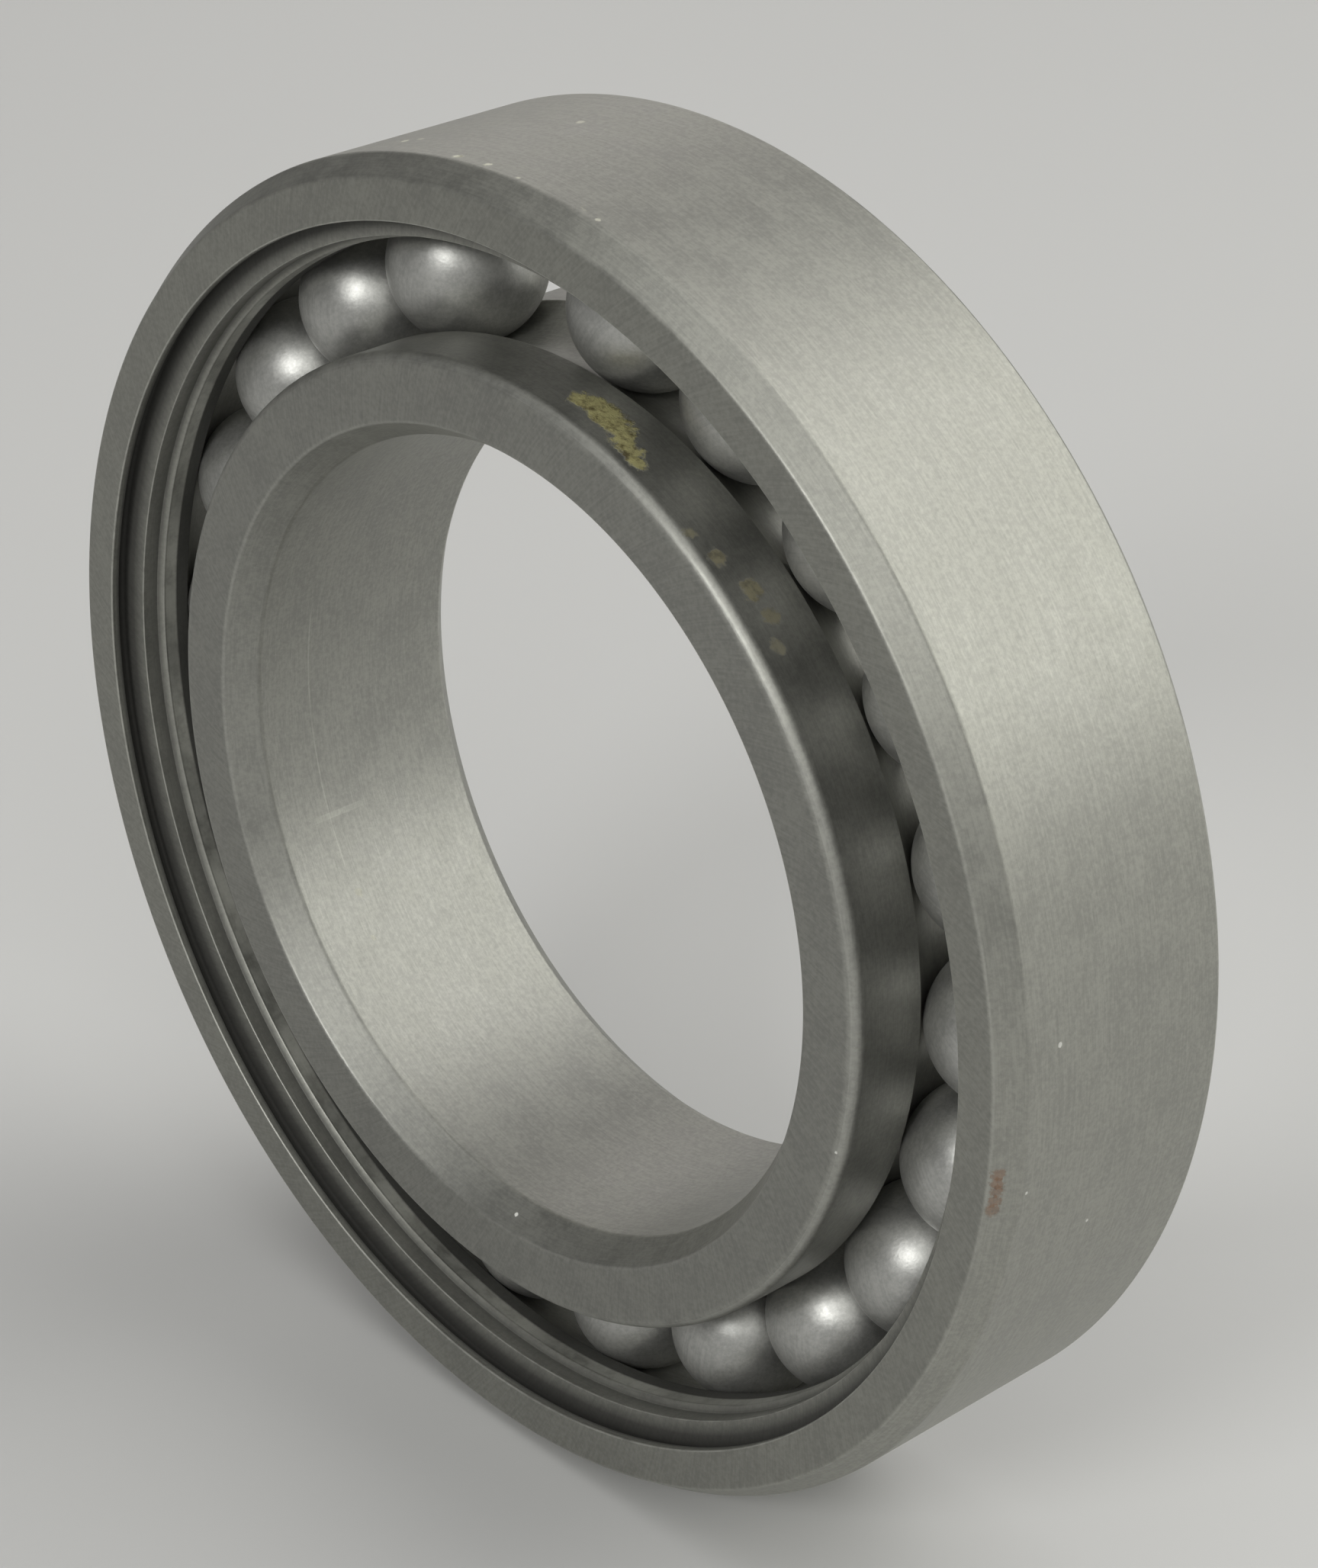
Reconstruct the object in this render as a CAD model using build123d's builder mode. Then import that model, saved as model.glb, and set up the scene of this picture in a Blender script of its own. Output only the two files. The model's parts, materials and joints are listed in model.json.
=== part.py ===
from build123d import *
from math import cos, radians, sin, sqrt
import os

# Single-row angular contact ball bearing, 45 mm bore, 75 mm outside diameter, 16 mm wide, with a
# full complement of loose balls and no cage. Millimetres. The bearing stands on its outside
# diameter: its axis is Y, the front faces -Y, +Z is up, and the origin is the bearing's centre.
# Ring outlines are drawn in the XY plane, X as the radius and Y along the axis, and are revolved
# about the Y axis.

# Boundary dimensions
BORE_RADIUS = 22.5
OUTSIDE_RADIUS = 37.5
WIDTH = 16.0
FRONT = -WIDTH / 2
BACK = WIDTH / 2

# Balls: 11/32 inch, in one row, close together with one wider gap at the top
BALL_RADIUS = 4.3655
PITCH_RADIUS = 30.25
BALL_COUNT = 21
FIRST_BALL_ANGLE = 110.4
BALL_SPACING_ANGLE = 16.61

# Raceways: a groove a little wider than the ball, its centre moved back along the contact line,
# so that the ball meets the outer ring on the front side and the inner ring on the back side
CONTACT_ANGLE = 30.0
GROOVE_RADIUS = 1.04 * BALL_RADIUS
BALL_PLAY = 0.02
CENTRE_SHIFT = GROOVE_RADIUS - BALL_RADIUS - BALL_PLAY
SHIFT_RADIAL = CENTRE_SHIFT * cos(radians(CONTACT_ANGLE))
SHIFT_AXIAL = CENTRE_SHIFT * sin(radians(CONTACT_ANGLE))
OUTER_GROOVE_CENTRE = (PITCH_RADIUS - SHIFT_RADIAL, SHIFT_AXIAL)
INNER_GROOVE_CENTRE = (PITCH_RADIUS + SHIFT_RADIAL, -SHIFT_AXIAL)

# Corners that lead into a housing or onto a shaft: size across the axis, then along it
OUTER_FRONT_CHAMFER = (1.0, 1.45)
INNER_FRONT_CHAMFER = (1.13, 1.8)
BACK_CHAMFER = (1.0, 1.0)
FRONT_CHAMFER_BLEND = 0.9
BACK_CHAMFER_BLEND = 0.3
FACE_BLEND = 0.25

# Outer ring, inside, from the front face: the lip of a seal groove, the groove, its sloping
# wall up to a narrow seat, a bevel, and the high shoulder that carries the thrust
LIP_RADIUS = 34.2
LIP_DEPTH = 0.5
SEAL_GROOVE_RADIUS = 34.75
SEAL_GROOVE_START = 0.8
SEAL_GROOVE_END = 1.2
SEAL_GROOVE_BLEND = 0.3
SEAT_RADIUS = 33.1
SEAT_START = 1.45
SEAT_END = 2.45
SHOULDER_RADIUS = 32.75
SHOULDER_START = 2.7

# Outer ring, inside, at the back: the relieved shoulder, open to the back face
RELIEF_RADIUS = 34.2
RELIEF_ROUND = 0.4

# Inner ring, outside: the same land on both sides of the raceway, rounded to the faces
LAND_RADIUS = 27.3
LAND_ROUND = 0.45


def groove_edge(centre, radius, side):
    """Where a raceway groove runs out at a given radius; side is -1 for front, 1 for back."""
    reach = sqrt(GROOVE_RADIUS**2 - (radius - centre[0]) ** 2)
    return (radius, centre[1] + side * reach)


def chamfer_corners(radius, face, size, out):
    """Ends of a corner chamfer between a cylinder and a face: on the cylinder, then on the face.
    out is 1 where the ring's material lies inside the cylinder, -1 where it lies outside."""
    inward = -1 if face > 0 else 1
    return (radius, face + inward * size[1]), (radius - out * size[0], face)


def blend_corners(sketch, points, radius):
    """Rounds the outline's corners at the given points."""
    for point in points:
        corner = sketch.vertices().sort_by_distance(Vector(point[0], point[1], 0))[0]
        fillet(corner, radius)


def save(part, name):
    """Labels a finished piece and writes its file."""
    part.label = name
    export_step(part, f"parts/{name}.step")


os.makedirs("parts", exist_ok=True)

# Outer ring
outer_front = chamfer_corners(OUTSIDE_RADIUS, FRONT, OUTER_FRONT_CHAMFER, 1)
outer_back = chamfer_corners(OUTSIDE_RADIUS, BACK, BACK_CHAMFER, 1)
outer_groove_bottom = (OUTER_GROOVE_CENTRE[0] + GROOVE_RADIUS, OUTER_GROOVE_CENTRE[1])
seal_groove_end = (SEAL_GROOVE_RADIUS, FRONT + SEAL_GROOVE_END)
relief_corner = (RELIEF_RADIUS, BACK)
front_side = [
    (LIP_RADIUS, FRONT),
    (LIP_RADIUS, FRONT + LIP_DEPTH),
    (SEAL_GROOVE_RADIUS, FRONT + SEAL_GROOVE_START),
    seal_groove_end,
    (SEAT_RADIUS, FRONT + SEAT_START),
    (SEAT_RADIUS, FRONT + SEAT_END),
    (SHOULDER_RADIUS, FRONT + SHOULDER_START),
    groove_edge(OUTER_GROOVE_CENTRE, SHOULDER_RADIUS, -1),
]
back_side = [groove_edge(OUTER_GROOVE_CENTRE, RELIEF_RADIUS, 1), relief_corner]

with BuildPart() as outer_ring:
    with BuildSketch(Plane.XY) as outer_outline:
        with BuildLine():
            Polyline(front_side)
            ThreePointArc(front_side[-1], outer_groove_bottom, back_side[0])
            Polyline(
                back_side[0],
                back_side[1],
                outer_back[1],
                outer_back[0],
                outer_front[0],
                outer_front[1],
                front_side[0],
            )
        make_face()
        blend_corners(outer_outline, (seal_groove_end,), SEAL_GROOVE_BLEND)
        blend_corners(outer_outline, (relief_corner,), RELIEF_ROUND)
        blend_corners(outer_outline, (outer_front[0],), FRONT_CHAMFER_BLEND)
        blend_corners(outer_outline, (outer_back[0],), BACK_CHAMFER_BLEND)
        blend_corners(outer_outline, (outer_front[1], outer_back[1]), FACE_BLEND)
    revolve(axis=Axis.Y)
save(outer_ring.part, "outer_ring")

# Inner ring
inner_front = chamfer_corners(BORE_RADIUS, FRONT, INNER_FRONT_CHAMFER, -1)
inner_back = chamfer_corners(BORE_RADIUS, BACK, BACK_CHAMFER, -1)
inner_groove_bottom = (INNER_GROOVE_CENTRE[0] - GROOVE_RADIUS, INNER_GROOVE_CENTRE[1])
front_groove_edge = groove_edge(INNER_GROOVE_CENTRE, LAND_RADIUS, -1)
back_groove_edge = groove_edge(INNER_GROOVE_CENTRE, LAND_RADIUS, 1)
front_land_corner = (LAND_RADIUS, FRONT)
back_land_corner = (LAND_RADIUS, BACK)

with BuildPart() as inner_ring:
    with BuildSketch(Plane.XY) as inner_outline:
        with BuildLine():
            ThreePointArc(front_groove_edge, inner_groove_bottom, back_groove_edge)
            Polyline(
                back_groove_edge,
                back_land_corner,
                inner_back[1],
                inner_back[0],
                inner_front[0],
                inner_front[1],
                front_land_corner,
                front_groove_edge,
            )
        make_face()
        blend_corners(inner_outline, (front_land_corner, back_land_corner), LAND_ROUND)
        blend_corners(inner_outline, (inner_front[0],), FRONT_CHAMFER_BLEND)
        blend_corners(inner_outline, (inner_back[0],), BACK_CHAMFER_BLEND)
        blend_corners(inner_outline, (inner_front[1], inner_back[1]), FACE_BLEND)
    revolve(axis=Axis.Y)
save(inner_ring.part, "inner_ring")

# Balls, numbered from the one beside the gap, in the order of rising angle from +X towards +Z
for index in range(BALL_COUNT):
    angle = radians(FIRST_BALL_ANGLE + index * BALL_SPACING_ANGLE)
    with BuildPart() as ball:
        with Locations((PITCH_RADIUS * cos(angle), 0, PITCH_RADIUS * sin(angle))):
            Sphere(BALL_RADIUS)
    save(ball.part, f"ball_{index + 1:02d}")
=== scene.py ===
import json
from math import acos, atan2, cos, pi, radians, sin, sqrt, tan

import bmesh
import bpy
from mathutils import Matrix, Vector


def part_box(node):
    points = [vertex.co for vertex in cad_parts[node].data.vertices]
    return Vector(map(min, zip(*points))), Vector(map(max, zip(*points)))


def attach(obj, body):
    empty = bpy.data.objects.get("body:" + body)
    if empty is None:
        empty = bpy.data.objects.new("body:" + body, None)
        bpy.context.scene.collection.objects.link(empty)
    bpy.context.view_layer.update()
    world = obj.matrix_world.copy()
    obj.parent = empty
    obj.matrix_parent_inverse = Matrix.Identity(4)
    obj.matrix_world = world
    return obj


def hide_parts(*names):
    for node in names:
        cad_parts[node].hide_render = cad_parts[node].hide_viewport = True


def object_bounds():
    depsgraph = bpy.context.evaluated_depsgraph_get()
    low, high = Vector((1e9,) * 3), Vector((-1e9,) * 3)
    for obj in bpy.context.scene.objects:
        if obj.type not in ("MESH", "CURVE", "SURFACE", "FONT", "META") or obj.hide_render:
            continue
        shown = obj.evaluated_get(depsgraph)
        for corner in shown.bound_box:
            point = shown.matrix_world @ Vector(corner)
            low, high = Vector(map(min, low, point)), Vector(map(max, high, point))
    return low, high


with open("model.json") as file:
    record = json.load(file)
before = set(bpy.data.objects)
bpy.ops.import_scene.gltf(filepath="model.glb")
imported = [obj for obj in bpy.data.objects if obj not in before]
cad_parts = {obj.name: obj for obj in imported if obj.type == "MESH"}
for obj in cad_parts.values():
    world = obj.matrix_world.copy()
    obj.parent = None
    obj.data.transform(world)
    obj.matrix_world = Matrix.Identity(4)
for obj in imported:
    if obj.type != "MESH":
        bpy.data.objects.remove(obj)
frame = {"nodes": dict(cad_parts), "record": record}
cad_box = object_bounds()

MM = 0.001

# ---------------------------------------------------------------------------------------------
# Sizes, in millimetres. The frame gives the bore, the outside diameter and the two faces. The
# rest of the profile repeats the CAD's own driving dimensions, because an outline to revolve
# can't be read back from a mesh. A depth, and a START or END, is measured from the front face.
# ---------------------------------------------------------------------------------------------
mounts = {mount["name"]: mount for mount in frame["record"]["mounts"]}
BORE_RADIUS = mounts["bore"]["dims"]["r_mm"]
OUTSIDE_RADIUS = mounts["housing_seat"]["dims"]["r_mm"]
FRONT = round(cad_box[0].y / MM, 2)
BACK = round(cad_box[1].y / MM, 2)

# Balls, and raceways whose centres are moved apart along the contact line
BALL_RADIUS = 4.3655
BALL_PLAY = 0.02
PITCH_RADIUS = 30.25
CONTACT_ANGLE = radians(30.0)
GROOVE_RADIUS = 1.04 * BALL_RADIUS
CENTRE_SHIFT = GROOVE_RADIUS - BALL_RADIUS - BALL_PLAY
SHIFT_RADIAL = CENTRE_SHIFT * cos(CONTACT_ANGLE)
SHIFT_AXIAL = CENTRE_SHIFT * sin(CONTACT_ANGLE)
OUTER_GROOVE_CENTRE = (PITCH_RADIUS - SHIFT_RADIAL, SHIFT_AXIAL)
INNER_GROOVE_CENTRE = (PITCH_RADIUS + SHIFT_RADIAL, -SHIFT_AXIAL)

# Lead-in corners: size across the axis, then along it
OUTER_FRONT_CHAMFER = (1.0, 1.45)
INNER_FRONT_CHAMFER = (1.13, 1.8)
BACK_CHAMFER = (1.0, 1.0)

# Outer ring, inside: a seal groove behind its lip, a narrow seat, the thrust shoulder, and the
# relieved shoulder at the back
LIP_RADIUS = 34.2
LIP_DEPTH = 0.5
SEAL_GROOVE_RADIUS = 34.75
SEAL_GROOVE_START = 0.8
SEAL_GROOVE_END = 1.2
SEAT_RADIUS = 33.1
SEAT_START = 1.45
SEAT_END = 2.45
SHOULDER_RADIUS = 32.75
SHOULDER_START = 2.7
RELIEF_RADIUS = 34.2

# Inner ring, outside: the same land on both sides of the raceway
LAND_RADIUS = 27.3

# Roundings. The back corners, the relief and the seal groove's floor follow the CAD. The front
# corners are this scene's own, and edges that are sharp in the CAD are broken a little here.
EDGE_ROUND = 0.1
OUTER_FRONT_BLEND = 0.5
INNER_FRONT_BLEND = 0.6
FRONT_FACE_BLEND = 0.3
BACK_FACE_BLEND = 0.25
BACK_CHAMFER_BLEND = 0.3
SEAL_GROOVE_BLEND = 0.3
RELIEF_ROUND = 0.4
FRONT_LAND_ROUND = 0.7
BACK_LAND_ROUND = 0.45

# Where the look of the outer ring's inside changes: painted shade covers this share of the seal
# groove's wall, and the thrust shoulder is painted dark as shade from this depth on
WALL_SHADE_SHARE = 0.5
SHOULDER_SHADE_START = 3.6

# Mesh density: steps around a ring, across a raceway and round a corner, and the cuts in each
# edge of the cube that a ball is made from
LATHE_STEPS = 480
RACE_STEPS = 40
ARC_STEPS = 6
BALL_CUTS = 20

# A rounding takes at most this share of the shorter edge beside it. A support edge beside it
# keeps the shading flat, at this distance or this share of the shorter edge.
ROUND_SHARE = 0.4
SUPPORT = 0.05
SUPPORT_SHARE = 0.2


# ---------------------------------------------------------------------------------------------
# Mesh building
# ---------------------------------------------------------------------------------------------
def corner(radius, axial, rounding=0.0, wear_and_highlight=0.0, painted_shade=0.0):
    """One point of a ring's outline: its rounding, its wear with painted highlight, and its painted
    shade.
    """
    return {"at": Vector((radius, axial)), "round": rounding, "wear_and_highlight": wear_and_highlight, "painted_shade": painted_shade}


def rim(centre, radius, side, wear_and_highlight=0.7, painted_shade=0.0):
    """The edge where a raceway meets the land beside it; side is -1 for front, 1 for back."""
    reach = sqrt(GROOVE_RADIUS**2 - (radius - centre[0]) ** 2)
    return corner(radius, centre[1] + side * reach, EDGE_ROUND, wear_and_highlight, painted_shade)


def raceway(centre, outward, front_radius, back_radius, painted_shade=0.0):
    """Points along a raceway between its two rims, front to back; outward is 1 in the outer ring,
    where the groove is cut away from the axis, and -1 in the inner ring."""
    front_offset = front_radius - centre[0]
    back_offset = back_radius - centre[0]
    front_axial = -sqrt(GROOVE_RADIUS**2 - front_offset**2)
    back_axial = sqrt(GROOVE_RADIUS**2 - back_offset**2)
    front_angle = atan2(front_axial, outward * front_offset)
    back_angle = atan2(back_axial, outward * back_offset)
    points = []
    for step in range(1, RACE_STEPS):
        angle = front_angle + (back_angle - front_angle) * step / RACE_STEPS
        radius = centre[0] + outward * GROOVE_RADIUS * cos(angle)
        axial = centre[1] + GROOVE_RADIUS * sin(angle)
        points.append(corner(radius, axial, painted_shade=painted_shade))
    return points


def band(start, end, wear_and_highlight, inset=0.15):
    """Two points just inside a narrow flat, to give the flat its own wear and painted highlight."""
    first, last = Vector(start), Vector(end)
    places = (first.lerp(last, inset), first.lerp(last, 1 - inset))
    return [corner(place.x, place.y, wear_and_highlight=wear_and_highlight) for place in places]


def rounded_outline(corners):
    """Closed outline of (place, wear with painted highlight, painted shade), with its corners
    rounded and support edges added.
    """
    outline = []
    for index, here in enumerate(corners):
        if here["round"] == 0.0:
            outline.append((here["at"], here["wear_and_highlight"], here["painted_shade"]))
            continue
        before = corners[index - 1]["at"] - here["at"]
        after = corners[(index + 1) % len(corners)]["at"] - here["at"]
        to_before = before.normalized()
        to_after = after.normalized()
        shortest = min(before.length, after.length)
        opening = acos(max(-1.0, min(1.0, to_before.dot(to_after))))
        reach = min(here["round"] / tan(opening / 2), ROUND_SHARE * shortest)
        radius = reach * tan(opening / 2)
        centre = here["at"] + (to_before + to_after).normalized() * (radius / sin(opening / 2))
        start = here["at"] + to_before * reach - centre
        end = here["at"] + to_after * reach - centre
        support = min(SUPPORT, SUPPORT_SHARE * shortest)
        outline.append((centre + start + to_before * support, 0.0, here["painted_shade"]))
        for step in range(ARC_STEPS + 1):
            share = step / ARC_STEPS
            swing = start.lerp(end, share).normalized() * radius
            outline.append((centre + swing, here["wear_and_highlight"] * sin(pi * share), here["painted_shade"]))
        outline.append((centre + end + to_after * support, 0.0, here["painted_shade"]))
    return outline


def shade_attributes(mesh, wear_and_highlight, painted_shade):
    """Stores each vertex's wear with painted highlight and its painted shade, for the materials to
    read.
    """
    for name, values in (("wear_and_highlight", wear_and_highlight), ("painted_shade", painted_shade)):
        attribute = mesh.attributes.new(name, "FLOAT", "POINT")
        attribute.data.foreach_set("value", values)


def shade_smooth(mesh):
    mesh.polygons.foreach_set("use_smooth", [True] * len(mesh.polygons))


def add_object(name, mesh):
    piece = bpy.data.objects.new(name, mesh)
    bpy.context.scene.collection.objects.link(piece)
    return piece


def lathe(name, outline):
    """Revolves a closed outline of (radius, axial) points about the Y axis into a quad mesh."""
    count = len(outline)
    vertices, wear_and_highlight, painted_shade = [], [], []
    for step in range(LATHE_STEPS):
        angle = 2 * pi * step / LATHE_STEPS
        for point, rub_and_highlight, painted_darkness in outline:
            radius = point.x * MM
            vertices.append((radius * cos(angle), point.y * MM, radius * sin(angle)))
            wear_and_highlight.append(rub_and_highlight)
            painted_shade.append(painted_darkness)
    faces = []
    for step in range(LATHE_STEPS):
        row = step * count
        next_row = ((step + 1) % LATHE_STEPS) * count
        for index in range(count):
            following = (index + 1) % count
            faces.append((row + index, row + following, next_row + following, next_row + index))
    mesh = bpy.data.meshes.new(name)
    mesh.from_pydata(vertices, [], faces)
    build = bmesh.new()
    build.from_mesh(mesh)
    bmesh.ops.recalc_face_normals(build, faces=build.faces)
    build.to_mesh(mesh)
    build.free()
    shade_smooth(mesh)
    shade_attributes(mesh, wear_and_highlight, painted_shade)
    return add_object(name, mesh)


def ball_mesh(name, centre):
    """A sphere of even quads: a cube grid spread by equal angles and pushed out to the radius."""
    build = bmesh.new()
    bmesh.ops.create_cube(build, size=2.0)
    bmesh.ops.subdivide_edges(build, edges=build.edges[:], cuts=BALL_CUTS, use_grid_fill=True)
    for vertex in build.verts:
        spread = Vector([tan(part * pi / 4) for part in vertex.co])
        vertex.co = centre + spread.normalized() * BALL_RADIUS * MM
    mesh = bpy.data.meshes.new(name)
    build.to_mesh(mesh)
    build.free()
    shade_smooth(mesh)
    return mesh


# ---------------------------------------------------------------------------------------------
# Ring outlines, from the inside edge of the outer ring's front face, or the outside edge of the
# inner ring's, through the raceway to the back face and round to the front face again
# ---------------------------------------------------------------------------------------------
def outer_ring_outline():
    across, along = OUTER_FRONT_CHAMFER
    groove_end = Vector((SEAL_GROOVE_RADIUS, FRONT + SEAL_GROOVE_END))
    groove_wall = Vector((SEAT_RADIUS - SEAL_GROOVE_RADIUS, SEAT_START - SEAL_GROOVE_END))
    shade_end = groove_end + WALL_SHADE_SHARE * groove_wall
    shoulder_start = (SHOULDER_RADIUS, FRONT + SHOULDER_START)
    shoulder_shade_start = (SHOULDER_RADIUS, FRONT + SHOULDER_SHADE_START)
    # Painted shade darkens the back of the lip, the seal groove, the end of the seat, the deep part
    # of the thrust shoulder and the raceway.
    return rounded_outline([
        corner(LIP_RADIUS, FRONT, rounding=EDGE_ROUND, wear_and_highlight=0.8),
        corner(LIP_RADIUS, FRONT + LIP_DEPTH, rounding=0.06, painted_shade=0.8),
        corner(SEAL_GROOVE_RADIUS, FRONT + SEAL_GROOVE_START, rounding=0.15, painted_shade=1.0),
        corner(*groove_end, rounding=SEAL_GROOVE_BLEND, painted_shade=1.0),
        corner(*shade_end, painted_shade=0.85),
        corner(SEAT_RADIUS, FRONT + SEAT_START, rounding=0.08, wear_and_highlight=0.7, painted_shade=0.1),
        corner(SEAT_RADIUS, FRONT + SEAT_END, rounding=0.05, wear_and_highlight=0.3, painted_shade=0.6),
        corner(*shoulder_start, rounding=EDGE_ROUND, wear_and_highlight=0.7),
        # this band on the thrust shoulder is a painted highlight, and the edges beside it are worn
        # and painted brighter as highlights
        *band(shoulder_start, shoulder_shade_start, wear_and_highlight=0.9),
        corner(*shoulder_shade_start, painted_shade=0.9),
        rim(OUTER_GROOVE_CENTRE, SHOULDER_RADIUS, -1, wear_and_highlight=0.0, painted_shade=0.95),
        *raceway(OUTER_GROOVE_CENTRE, 1, SHOULDER_RADIUS, RELIEF_RADIUS, painted_shade=0.35),
        rim(OUTER_GROOVE_CENTRE, RELIEF_RADIUS, 1),
        corner(RELIEF_RADIUS, BACK, rounding=RELIEF_ROUND, wear_and_highlight=0.5),
        corner(OUTSIDE_RADIUS - BACK_CHAMFER[0], BACK, rounding=BACK_FACE_BLEND, wear_and_highlight=0.6),
        corner(OUTSIDE_RADIUS, BACK - BACK_CHAMFER[1], rounding=BACK_CHAMFER_BLEND, wear_and_highlight=0.6),
        corner(OUTSIDE_RADIUS, FRONT + along, rounding=OUTER_FRONT_BLEND),
        corner(OUTSIDE_RADIUS - across, FRONT, rounding=FRONT_FACE_BLEND, wear_and_highlight=0.25),
    ])


def inner_ring_outline():
    across, along = INNER_FRONT_CHAMFER
    return rounded_outline([
        # the front land's rounded edge is worn and also painted brighter as a highlight
        corner(LAND_RADIUS, FRONT, rounding=FRONT_LAND_ROUND, wear_and_highlight=0.35),
        rim(INNER_GROOVE_CENTRE, LAND_RADIUS, -1),
        *raceway(INNER_GROOVE_CENTRE, -1, LAND_RADIUS, LAND_RADIUS),
        rim(INNER_GROOVE_CENTRE, LAND_RADIUS, 1),
        corner(LAND_RADIUS, BACK, rounding=BACK_LAND_ROUND, wear_and_highlight=0.3),
        corner(BORE_RADIUS + BACK_CHAMFER[0], BACK, rounding=BACK_FACE_BLEND, wear_and_highlight=0.6),
        corner(BORE_RADIUS, BACK - BACK_CHAMFER[1], rounding=BACK_CHAMFER_BLEND, wear_and_highlight=0.6),
        corner(BORE_RADIUS, FRONT + along, rounding=INNER_FRONT_BLEND),
        corner(BORE_RADIUS + across, FRONT, rounding=FRONT_FACE_BLEND, wear_and_highlight=0.2),
    ])


# ---------------------------------------------------------------------------------------------
# Node materials
# ---------------------------------------------------------------------------------------------
class Shader:
    """A small helper that builds one node material. A source is a socket or a plain value."""

    def __init__(self, name):
        self.material = bpy.data.materials.new(name)
        self.material.use_nodes = True
        self.tree = self.material.node_tree
        self.tree.nodes.clear()
        self.output = self.tree.nodes.new("ShaderNodeOutputMaterial")

    def node(self, kind, **settings):
        made = self.tree.nodes.new(kind)
        for key, value in settings.items():
            setattr(made, key, value)
        return made

    def join(self, source, socket):
        if isinstance(source, bpy.types.NodeSocket):
            self.tree.links.new(source, socket)
        else:
            socket.default_value = source

    def join_all(self, sources, sockets):
        for source, socket in zip(sources, sockets):
            self.join(source, socket)

    def math(self, operation, first, second=0.0, third=0.0):
        made = self.node("ShaderNodeMath", operation=operation)
        self.join_all((first, second, third), made.inputs)
        return made.outputs[0]

    def add(self, first, second):
        return self.math("ADD", first, second)

    def minus(self, first, second):
        return self.math("SUBTRACT", first, second)

    def times(self, first, second):
        return self.math("MULTIPLY", first, second)

    def absolute(self, value):
        return self.math("ABSOLUTE", value)

    def weigh(self, *parts):
        """Sum of values, each times its weight."""
        shares = [self.times(value, weight) for value, weight in parts]
        total = shares[0]
        for share in shares[1:]:
            total = self.add(total, share)
        return total

    def position(self):
        return self.node("ShaderNodeTexCoord").outputs["Object"]

    def vector(self, x, y, z):
        made = self.node("ShaderNodeCombineXYZ")
        self.join_all((x, y, z), made.inputs)
        return made.outputs[0]

    def split(self, vector):
        made = self.node("ShaderNodeSeparateXYZ")
        self.join(vector, made.inputs[0])
        return made.outputs

    def distance(self, first, second):
        made = self.node("ShaderNodeVectorMath", operation="DISTANCE")
        self.join_all((first, second), made.inputs)
        return made.outputs["Value"]

    def noise(self, vector, scale, detail, roughness):
        made = self.node("ShaderNodeTexNoise")
        self.join(vector, made.inputs["Vector"])
        self.join(scale, made.inputs["Scale"])
        self.join(detail, made.inputs["Detail"])
        self.join(roughness, made.inputs["Roughness"])
        return made.outputs[0]

    def ramp(self, value, low, high, out_low=0.0, out_high=1.0):
        """A smooth step from out_low at low to out_high at high."""
        made = self.node("ShaderNodeMapRange", interpolation_type="SMOOTHSTEP")
        self.join_all((value, low, high, out_low, out_high), made.inputs)
        return made.outputs[0]

    def mix(self, share, first, second, blend="MIX"):
        made = self.node("ShaderNodeMix", data_type="RGBA", blend_type=blend)
        self.join(share, made.inputs[0])
        self.join(first, made.inputs[6])
        self.join(second, made.inputs[7])
        return made.outputs[2]

    def attribute(self, name):
        return self.node("ShaderNodeAttribute", attribute_name=name).outputs["Fac"]

    def bump(self, height, strength, distance):
        made = self.node("ShaderNodeBump")
        self.join(strength, made.inputs["Strength"])
        self.join(distance, made.inputs["Distance"])
        self.join(height, made.inputs["Height"])
        return made.outputs[0]

    def surface(self, inputs):
        """Ends the material with a principled surface and returns it."""
        made = self.node("ShaderNodeBsdfPrincipled")
        for name, source in inputs.items():
            self.join(source, made.inputs[name])
        self.join(made.outputs[0], self.output.inputs["Surface"])
        return self.material


def rgb(red, green, blue):
    return (red, green, blue, 1.0)


# ---------------------------------------------------------------------------------------------
# Spots and lines on the steel. A place is a radius, a depth behind the front face and an angle
# in degrees, from +X towards +Z.
# ---------------------------------------------------------------------------------------------
SPOT_DULLNESS = 0.3
SPOT_METAL_LOSS = 0.95
SPOT_RAGGEDNESS = 2.2
SPOT_CORE = 0.55
LINE_CORE = 0.3
LINE_COLOUR = rgb(0.62, 0.62, 0.56)
LINE_BREAKS = (700.0, 2.0, 0.6)

RESIDUE = {
    "dark": rgb(0.10, 0.08, 0.03), "light": rgb(0.40, 0.37, 0.17), "grain": 1100.0, "raised": 3.0}
SPECK = {
    "dark": rgb(0.34, 0.33, 0.24), "light": rgb(0.66, 0.65, 0.55), "grain": 1500.0, "raised": 0.0}
STAIN = {
    "dark": rgb(0.10, 0.085, 0.04), "light": rgb(0.24, 0.215, 0.12), "grain": 1500.0, "raised": 0.0}
RUST = {
    "dark": rgb(0.09, 0.035, 0.012), "light": rgb(0.22, 0.10, 0.04), "grain": 2600.0, "raised": 0.0}
NICK = {
    "dark": rgb(0.70, 0.70, 0.66), "light": rgb(0.80, 0.80, 0.76), "grain": 1500.0, "raised": 0.0}


def on_ring(radius, depth, degrees):
    """A place on a ring as a point in metres."""
    turn = radians(degrees)
    return Vector((radius * cos(turn), FRONT + depth, radius * sin(turn))) * MM


def spot(look, radius, depth, degrees, size, cover):
    """One uneven spot on a ring; size is about its radius in millimetres, cover its opacity."""
    return {**look, "at": on_ring(radius, depth, degrees), "size": size * MM, "cover": cover}


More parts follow.
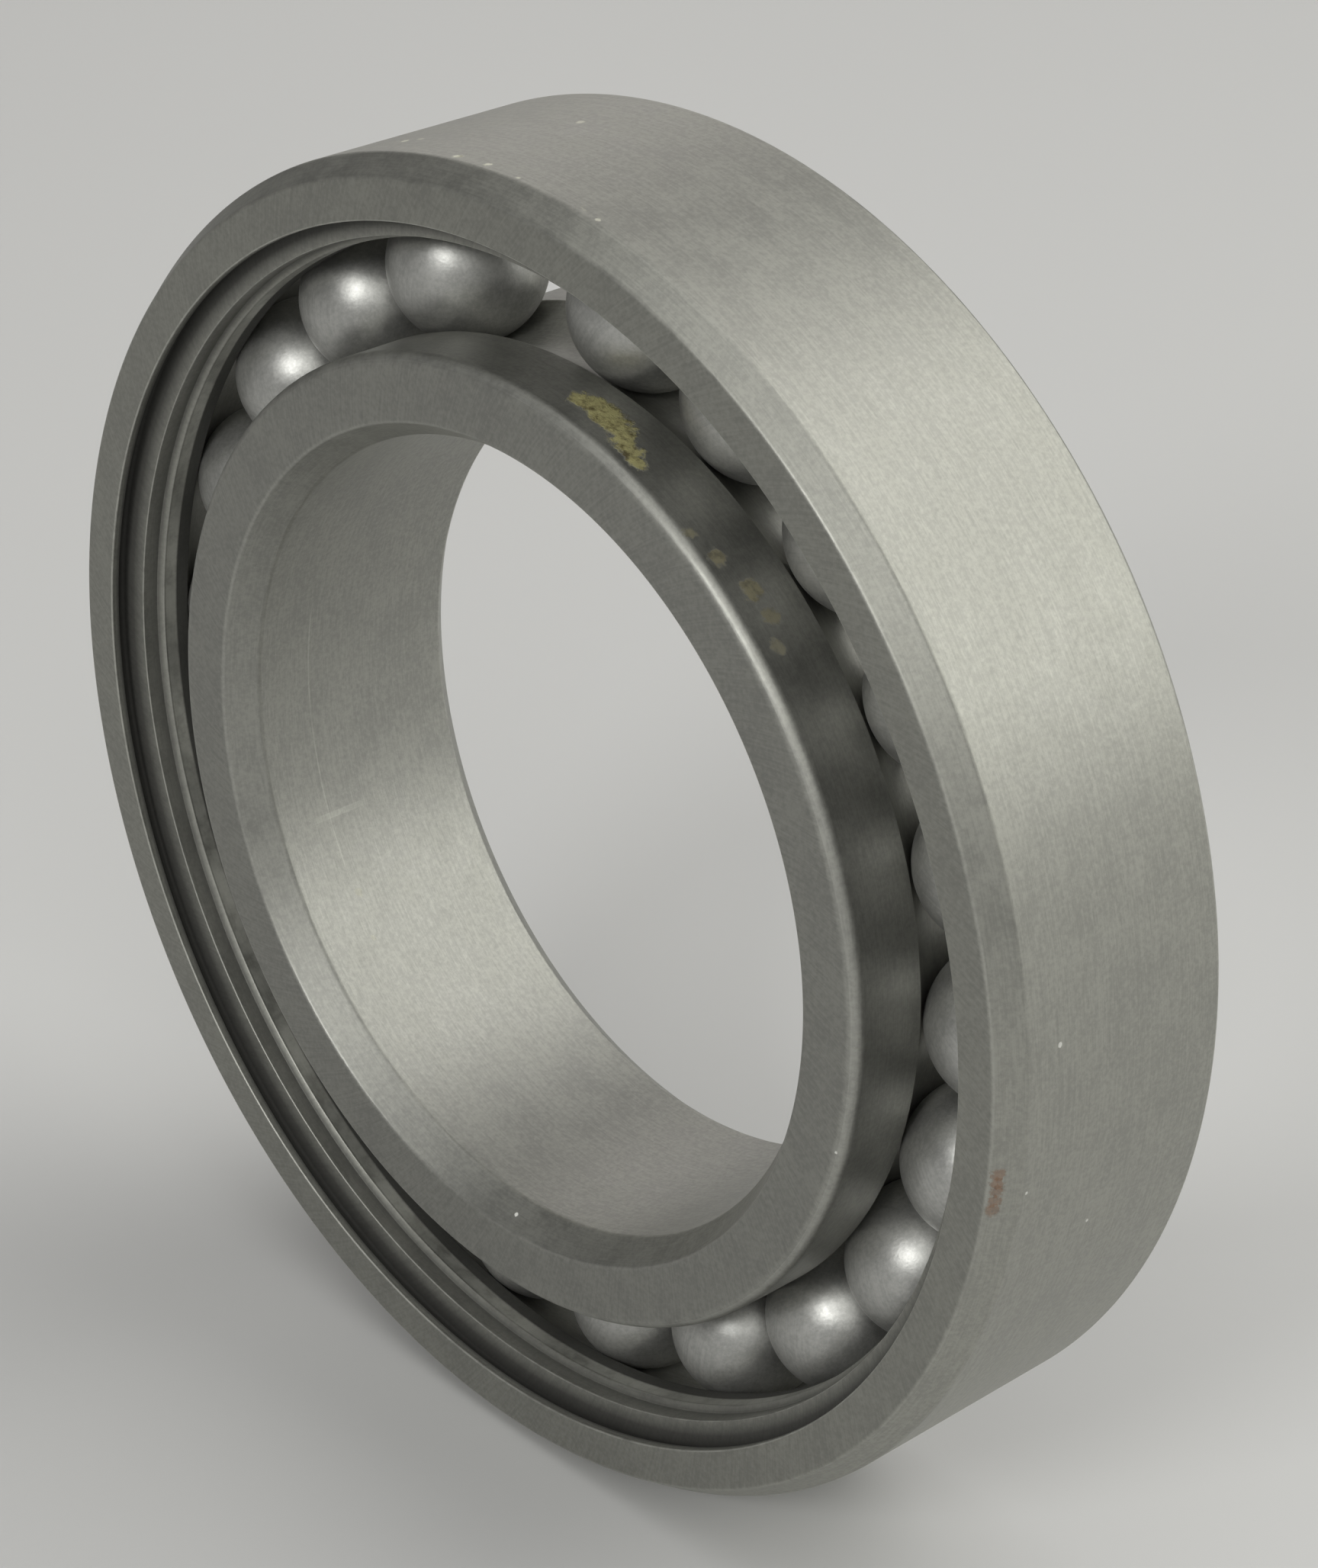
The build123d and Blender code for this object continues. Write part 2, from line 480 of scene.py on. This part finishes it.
def spot_mask(shader, place, mark):
    """The spot's cover inside it, 0 outside."""
    ragged = shader.minus(shader.noise(place, mark["grain"], 4.0, 0.7), 0.5)
    away = shader.distance(place, mark["at"])
    reach = shader.add(away, shader.times(ragged, mark["size"] * SPOT_RAGGEDNESS))
    return shader.ramp(reach, mark["size"], mark["size"] * SPOT_CORE, 0.0, mark["cover"])


def spot_colour(shader, place, mark):
    tone = shader.noise(place, mark["grain"] * 1.3, 4.0, 0.7)
    return shader.mix(shader.ramp(tone, 0.30, 0.56), mark["dark"], mark["light"])


def line(start, end, depth, width, cover):
    """A scratch around a ring between two angles; width is half its width in millimetres."""
    return {"start": radians(start), "end": radians(end), "depth": depth, "width": width * MM,
        "cover": cover}


def line_mask(shader, place, angle, axial, mark):
    """The scratch's cover along it, fading toward its ends; an angle past 180 degrees carries on."""
    middle = (mark["start"] + mark["end"]) / 2
    reach = (mark["end"] - mark["start"]) / 2
    swing = shader.math("WRAP", shader.minus(angle, middle), pi, -pi)
    along = shader.math("DIVIDE", shader.absolute(swing), reach)
    away = shader.absolute(shader.minus(axial, (FRONT + mark["depth"]) * MM))
    across = shader.ramp(away, mark["width"], mark["width"] * LINE_CORE, 0.0, mark["cover"])
    broken = shader.ramp(shader.noise(place, *LINE_BREAKS), 0.35, 0.6, 0.4, 1.0)
    return shader.times(shader.times(across, shader.ramp(along, 1.0, 0.8)), broken)


outer_spots = [
    spot(SPECK, OUTSIDE_RADIUS, 3.7, 105.8, 0.30, 0.8),
    spot(SPECK, OUTSIDE_RADIUS, 4.1, 104.5, 0.22, 0.7),
    spot(SPECK, OUTSIDE_RADIUS, 9.9, 95.6, 0.30, 0.6),
    spot(SPECK, OUTSIDE_RADIUS, 1.95, 95.9, 0.32, 0.8),
    spot(SPECK, OUTSIDE_RADIUS, 2.0, 92.4, 0.28, 0.8),
    spot(SPECK, 37.4, 1.8, 88.5, 0.22, 0.7),
    spot(SPECK, 37.3, 1.95, 81.5, 0.35, 0.7),
    spot(SPECK, 37.3, 1.8, 79.5, 0.25, 0.7),
    spot(SPECK, 37.1, 1.4, 76.7, 0.25, 0.6),
    spot(NICK, OUTSIDE_RADIUS, 3.6, 5.4, 0.16, 0.7),
    spot(NICK, OUTSIDE_RADIUS, 1.8, -6.2, 0.13, 0.7),
    spot(NICK, OUTSIDE_RADIUS, 7.2, -13.0, 0.13, 0.7),
]
outer_spots += [
    spot(RUST, 36.75, 0.4, degrees, 0.42, 0.5)
    for degrees in (-4.2, -5.0, -5.8, -6.6, -7.6)
]

inner_spots = [
    spot(STAIN, LAND_RADIUS, 0.9, 58.2, 0.45, 0.7),
    spot(STAIN, LAND_RADIUS, 1.4, 54.6, 0.60, 0.8),
    spot(STAIN, LAND_RADIUS, 2.0, 50.0, 0.75, 0.8),
    spot(STAIN, LAND_RADIUS, 2.2, 46.6, 0.60, 0.7),
    spot(STAIN, LAND_RADIUS, 1.7, 43.4, 0.50, 0.6),
    spot(NICK, 23.1, 0.9, -89.0, 0.16, 0.9),
    spot(NICK, 27.3, 0.3, -75.0, 0.14, 0.9),
    spot(NICK, 26.9, 0.0, -13.6, 0.12, 0.9),
    spot(SPECK, BORE_RADIUS, 5.5, -147.0, 0.30, 0.4),
    spot(SPECK, BORE_RADIUS, 5.2, -140.0, 0.25, 0.4),
]
inner_spots += [
    spot(RESIDUE, LAND_RADIUS, depth, degrees, size, 0.97)
    for depth, degrees, size in (
        (2.2, 79.9, 0.75),
        (2.5, 78.6, 1.00),
        (2.6, 77.0, 1.15),
        (2.4, 75.3, 1.15),
        (2.2, 73.6, 1.05),
        (1.9, 71.8, 0.90),
        (1.7, 70.0, 0.80),
        (1.4, 68.2, 0.55),
    )
]

# In the bore: one scratch around it, and one so short and wide that it runs along the axis
inner_lines = [
    line(165.0, 212.0, 5.3, 0.07, 0.25),
    line(200.2, 201.2, 5.8, 2.3, 0.35),
]

# ---------------------------------------------------------------------------------------------
# Steel
# ---------------------------------------------------------------------------------------------
# Noise settings: scale per metre, detail and roughness
CYLINDER_GRINDING = (9000.0, 3.0, 0.65)
FACE_GRINDING = (5200.0, 2.0, 0.6)
MOTTLE = (420.0, 4.0, 0.7)
GRAIN = (3600.0, 3.0, 0.65)
WEAR_AND_HIGHLIGHT_NOISE = (900.0, 3.0, 0.6)

# Grinding marks: the radius at which an angle becomes a length, in metres, how far the marks are
# drawn out around the cylinders and along the faces, and how much they slant across the faces
GRINDING_RADIUS = 0.035
CYLINDER_STRETCH = 0.05
FACE_STRETCH = 0.06
FACE_SLANT = 0.7

# What painted shade, wear with painted highlight and a face square to the axis do to the steel
PAINTED_SHADE_COLOUR = rgb(0.012, 0.011, 0.010)
PAINTED_SHADE_COVER = 0.9
PAINTED_SHADE_ROUGHNESS = 0.25
PAINTED_SHADE_METAL_LOSS = 0.6
WORN_AND_HIGHLIGHT_COLOUR = rgb(0.50, 0.50, 0.46)
WEAR_AND_HIGHLIGHT_COVER = 0.6
WEAR_AND_HIGHLIGHT_METAL_LOSS = 0.35
FACE_ROUGHNESS = 0.08
METALNESS = 0.85
BUMP_STRENGTH = 0.4
BUMP_DISTANCE = 0.03 * MM


def cylindrical(shader, place):
    """Angle about the bearing's axis in radians, and radius and axial place in metres."""
    x, y, z = shader.split(place)
    angle = shader.math("ARCTAN2", z, x)
    radius = shader.math("SQRT", shader.add(shader.times(x, x), shader.times(z, z)))
    return angle, radius, y


def facing_axis(shader):
    """1 where the surface is square to the bearing's axis, 0 on the cylinders."""
    normal = shader.node("ShaderNodeNewGeometry").outputs["True Normal"]
    return shader.ramp(shader.absolute(shader.split(normal)[1]), 0.86, 0.98)


def grinding(shader, angle, radius, axial, on_face):
    """Marks that run around the cylinders and slant across the faces."""
    around = shader.times(angle, GRINDING_RADIUS)
    cylinder_place = shader.vector(shader.times(around, CYLINDER_STRETCH), axial, radius)
    slanted = shader.add(around, shader.times(radius, FACE_SLANT))
    face_place = shader.vector(slanted, shader.times(radius, FACE_STRETCH), 0.0)
    return shader.add(
        shader.times(shader.noise(cylinder_place, *CYLINDER_GRINDING), shader.minus(1.0, on_face)),
        shader.times(shader.noise(face_place, *FACE_GRINDING), on_face))


def steel(name, dark, light, face_tint, roughness, spots=(), lines=()):
    """Dull ground bearing steel: an even satin tone, grinding marks, fine grain, rubbed edges with
    painted highlights, and painted shade in the grooves.
    """
    shader = Shader(name)
    place = shader.position()
    angle, radius, axial = cylindrical(shader, place)
    on_face = facing_axis(shader)
    marks = grinding(shader, angle, radius, axial, on_face)
    mottle = shader.noise(place, *MOTTLE)
    grain = shader.noise(place, *GRAIN)
    tone = shader.weigh((mottle, 0.3), (grain, 0.4), (marks, 0.3))
    height = shader.weigh((grain, 0.6), (marks, 0.4))
    colour = shader.mix(shader.ramp(tone, 0.38, 0.62), dark, light)
    colour = shader.mix(on_face, colour, shader.mix(1.0, colour, face_tint, "MULTIPLY"))

    # painted shade darkens the grooves, and edges are rubbed and painted brighter as highlights, in
    # an uneven way
    painted_darkness = shader.attribute("painted_shade")
    uneven = shader.ramp(shader.noise(place, *WEAR_AND_HIGHLIGHT_NOISE), 0.3, 0.62, 0.3, 1.0)
    rub_and_highlight = shader.times(shader.attribute("wear_and_highlight"), uneven)
    colour = shader.mix(shader.times(painted_darkness, PAINTED_SHADE_COVER), colour, PAINTED_SHADE_COLOUR)
    colour = shader.mix(shader.times(rub_and_highlight, WEAR_AND_HIGHLIGHT_COVER), colour, WORN_AND_HIGHLIGHT_COLOUR)
    rough = shader.add(roughness, shader.ramp(mottle, 0.3, 0.7, -0.03, 0.05))
    rough = shader.add(rough, shader.times(on_face, FACE_ROUGHNESS))
    rough = shader.add(rough, shader.times(painted_darkness, PAINTED_SHADE_ROUGHNESS))
    metal = shader.minus(METALNESS, shader.times(painted_darkness, PAINTED_SHADE_METAL_LOSS))
    metal = shader.minus(metal, shader.times(rub_and_highlight, WEAR_AND_HIGHLIGHT_METAL_LOSS))

    for mark in lines:
        colour = shader.mix(line_mask(shader, place, angle, axial, mark), colour, LINE_COLOUR)
    for mark in spots:
        mask = spot_mask(shader, place, mark)
        colour = shader.mix(mask, colour, spot_colour(shader, place, mark))
        rough = shader.add(rough, shader.times(mask, SPOT_DULLNESS))
        metal = shader.times(metal, shader.minus(1.0, shader.times(mask, SPOT_METAL_LOSS)))
        height = shader.add(height, shader.times(mask, mark["raised"]))

    return shader.surface({
        "Base Color": colour,
        "Roughness": rough,
        "Metallic": metal,
        "Normal": shader.bump(height, BUMP_STRENGTH, BUMP_DISTANCE),
    })


RING_FACE_TINT = rgb(0.85, 0.85, 0.85)
RING_ROUGHNESS = 0.46
outer_steel = steel("outer_ring_steel", rgb(0.29, 0.29, 0.265), rgb(0.37, 0.37, 0.335),
    RING_FACE_TINT, RING_ROUGHNESS, outer_spots)
inner_steel = steel("inner_ring_steel", rgb(0.28, 0.28, 0.26), rgb(0.36, 0.36, 0.33),
    RING_FACE_TINT, RING_ROUGHNESS, inner_spots, inner_lines)
ball_steel = steel("ball_steel", rgb(0.40, 0.40, 0.385), rgb(0.52, 0.52, 0.50),
    face_tint=rgb(1.0, 1.0, 1.0), roughness=0.42)

# ---------------------------------------------------------------------------------------------
# Pieces
# ---------------------------------------------------------------------------------------------
for piece_name, outline, material, node in (
    ("outer_ring_body", outer_ring_outline(), outer_steel, "outer_ring"),
    ("inner_ring_body", inner_ring_outline(), inner_steel, "inner_ring"),
):
    ring = lathe(piece_name, outline)
    ring.data.materials.append(material)
    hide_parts(node)
    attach(ring, node)

for node in sorted(frame["nodes"]):
    if not node.startswith("ball_"):
        continue
    low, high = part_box(node)
    ball = add_object(node.replace("ball", "steel_ball"), ball_mesh(node, (low + high) / 2))
    ball.data.materials.append(ball_steel)
    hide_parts(node)
    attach(ball, node)


# ---------------------------------------------------------------------------------------------
# Floor, in metres
# ---------------------------------------------------------------------------------------------
FLOOR_HALF = 3.0
FLOOR_CLOUDS = (3.0, 2.0, 0.5)
FLOOR_ROUGHNESS = 0.7


def floor_material():
    shader = Shader("pale_floor")
    tone = shader.noise(shader.position(), *FLOOR_CLOUDS)
    colour = shader.mix(tone, rgb(0.57, 0.57, 0.565), rgb(0.60, 0.60, 0.595))
    return shader.surface({"Base Color": colour, "Roughness": FLOOR_ROUGHNESS})


floor_corners = [
    (-FLOOR_HALF, -FLOOR_HALF, 0),
    (FLOOR_HALF, -FLOOR_HALF, 0),
    (FLOOR_HALF, FLOOR_HALF, 0),
    (-FLOOR_HALF, FLOOR_HALF, 0),
]
floor_mesh = bpy.data.meshes.new("floor")
floor_mesh.from_pydata(floor_corners, [], [(0, 1, 2, 3)])
floor = add_object("floor", floor_mesh)
floor.location.z = cad_box[0].z
floor.data.materials.append(floor_material())

# ---------------------------------------------------------------------------------------------
# Lights: large soft disks, all at one distance and turned to the bearing
# ---------------------------------------------------------------------------------------------
LIGHT_DISTANCE = 0.9
WORLD_STRENGTH = 0.10

# name, direction from the bearing, disk diameter in metres, power in watts, tint
LIGHTS = (
    ("key", (0.45, 0.60, 0.58), 1.0, 4.5, (1.0, 1.0, 0.95)),
    ("overhead_back", (0.0, 0.60, 0.80), 0.7, 1.0, (1.0, 0.98, 0.97)),
    ("back_left", (-0.73, 0.55, 0.40), 0.6, 0.8, (1.0, 0.96, 0.94)),
    ("right", (0.75, 0.60, 0.30), 0.5, 0.8, (1.0, 1.0, 0.96)),
    ("front", (0.17, -0.85, 0.50), 0.26, 2.5, (1.0, 1.0, 0.98)),
    ("camera_side", (0.60, -0.50, 0.62), 0.7, 2.0, (1.0, 1.0, 0.96)),
    ("overhead", (0.0, -0.10, 1.0), 0.8, 2.0, (1.0, 1.0, 0.98)),
)


def soft_light(name, place, size, power, tint):
    lamp = bpy.data.lights.new(name, "AREA")
    lamp.shape = "DISK"
    lamp.size = size
    lamp.energy = power
    lamp.color = tint
    holder = bpy.data.objects.new(name, lamp)
    holder.location = place
    holder.rotation_mode = "QUATERNION"
    holder.rotation_quaternion = place.to_track_quat("Z", "Y")
    bpy.context.scene.collection.objects.link(holder)


for name, direction, size, power, tint in LIGHTS:
    soft_light(name, Vector(direction).normalized() * LIGHT_DISTANCE, size, power, tint)

world = bpy.data.worlds.new("soft_room")
world.use_nodes = True
background = world.node_tree.nodes["Background"]
background.inputs["Color"].default_value = rgb(1.0, 1.0, 1.0)
background.inputs["Strength"].default_value = WORLD_STRENGTH
bpy.context.scene.world = world

# ---------------------------------------------------------------------------------------------
# Camera, to the right of and above the front face, close enough for clear perspective. Its aim
# is moved from the middle of the front face by AIM_RIGHT and AIM_UP. Distances are in metres,
# and the lens and the sensor in millimetres.
# ---------------------------------------------------------------------------------------------
AZIMUTH = radians(47.64)
ELEVATION = radians(27.79)
DISTANCE = 0.2183
AIM_RIGHT = 0.00886
AIM_UP = 0.00372
LENS = 94.44
SENSOR_WIDTH = 36.0
CLIP_START = 0.01

toward_camera = Vector(
    (sin(AZIMUTH) * cos(ELEVATION), -cos(AZIMUTH) * cos(ELEVATION), sin(ELEVATION)))
right = Vector((cos(AZIMUTH), sin(AZIMUTH), 0.0))
upward = toward_camera.cross(right)
aim = Vector((0.0, FRONT * MM, 0.0)) + right * AIM_RIGHT + upward * AIM_UP
camera_data = bpy.data.cameras.new("camera")
camera_data.sensor_width = SENSOR_WIDTH
camera_data.lens = LENS
camera_data.clip_start = CLIP_START
camera = bpy.data.objects.new("camera", camera_data)
camera.location = aim + toward_camera * DISTANCE
camera.rotation_mode = "QUATERNION"
camera.rotation_quaternion = toward_camera.to_track_quat("Z", "Y")
bpy.context.scene.collection.objects.link(camera)
bpy.context.scene.camera = camera
bpy.context.scene.view_settings.view_transform = "Standard"
